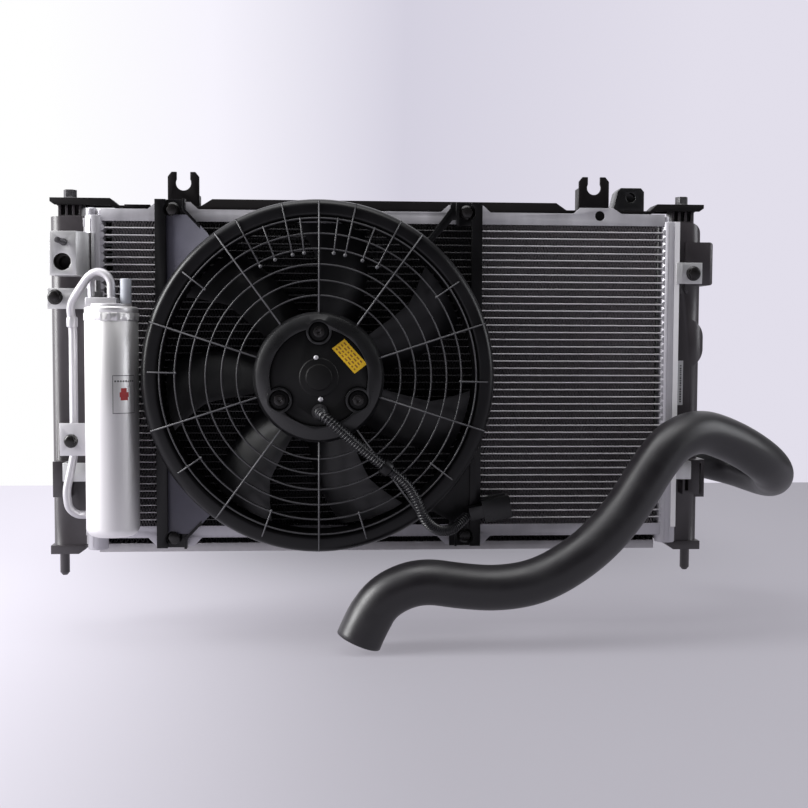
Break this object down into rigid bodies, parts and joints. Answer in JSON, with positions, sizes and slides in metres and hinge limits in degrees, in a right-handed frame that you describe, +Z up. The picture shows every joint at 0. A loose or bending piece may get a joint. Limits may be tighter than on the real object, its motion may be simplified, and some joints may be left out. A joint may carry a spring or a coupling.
{
  "type": "car radiator",
  "caption": "Car cooling module: cross-flow radiator with plastic side tanks, condenser with receiver-drier, electric pusher fan in a ring shroud with a wire guard, and a moulded lower hose.",
  "frame": {"origin": "midway between the two lower pegs, at the shoulder they stand on", "axes": "+X across the core towards the hose side, +Y from the fan side to the engine side, +Z up, away from the pegs"},
  "size_m": [0.819, 0.284, 0.4811],
  "materials": {
    "bar_steel": "black electrocoat",
    "bare_aluminium": "satin extruded aluminium",
    "bolt_steel": "black zinc",
    "brass": "turned",
    "cap_plastic": "translucent grey cap",
    "conduit": "corrugated polyamide",
    "connector": "moulded nylon",
    "core_aluminium": "satin brazed aluminium",
    "desiccant": "beads in a felt bag",
    "fan_plastic": "moulded polypropylene",
    "ferrite": "sintered ferrite",
    "motor_steel": "black painted steel",
    "rubber": "matt EPDM",
    "tank_plastic": "glass-filled nylon, fine grain"
  },
  "bodies": {
    "root": {"ac_block_stud": "bolt_steel", "ac_connection_block": "bare_aluminium", "bar_block": "tank_plastic", "bracket_bolts": "bolt_steel", "cable_grommet": "rubber", "condenser_bottom_plate": "bare_aluminium", "condenser_fins": "core_aluminium", "condenser_top_plate": "bare_aluminium", "condenser_tubes": "bare_aluminium", "connector_plug": "connector", "crossbar_bolts": "bolt_steel", "drier_bottle": "bare_aluminium", "drier_brackets": "bare_aluminium", "drier_desiccant": "desiccant", "drier_head": "bare_aluminium", "drier_pickup_tube": "core_aluminium", "drier_pipe": "bare_aluminium", "drier_service_cap": "cap_plastic", "drier_stud_nut": "bolt_steel", "fan_grille": "fan_plastic", "fan_shroud": "fan_plastic", "header_caps": "bare_aluminium", "hose_clamp": "bolt_steel", "lead_clip": "fan_plastic", "left_condenser_header": "bare_aluminium", "left_fork_bracket": "bar_steel", "left_header_plate": "core_aluminium", "left_lower_bracket": "bare_aluminium", "left_tank": "tank_plastic", "left_tank_gasket": "rubber", "left_upper_bracket": "bare_aluminium", "lower_hose": "rubber", "motor_bearings": "brass", "motor_brush_card": "connector", "motor_bushes": "rubber", "motor_can": "motor_steel", "motor_end_plate": "motor_steel", "motor_lead": "conduit", "motor_magnets": "ferrite", "motor_screws": "bolt_steel", "pipe_clamp": "bare_aluminium", "radiator_bottom_plate": "core_aluminium", "radiator_fins": "core_aluminium", "radiator_top_plate": "core_aluminium", "radiator_tubes": "core_aluminium", "right_condenser_header": "bare_aluminium", "right_fork_bracket": "bar_steel", "right_header_plate": "core_aluminium", "right_lower_bracket": "bare_aluminium", "right_tank": "tank_plastic", "right_tank_gasket": "rubber", "right_upper_bracket": "bare_aluminium", "shroud_bolts": "bolt_steel", "shroud_nuts": "bolt_steel", "tank_inserts": "brass", "upper_crossbar": "bar_steel"},
    "fan": {"fan_blades": "fan_plastic", "motor_shaft": "bolt_steel", "motor_armature": "ferrite", "fan_nut": "bolt_steel"}
  },
  "joints": [
    {"name": "fan_spin", "type": "hinge", "parent": "root", "child": "fan", "pos_m": [-0.0658, -0.076, 0.1892], "axis": [0, 1, 0], "continuous": true}
  ]
}
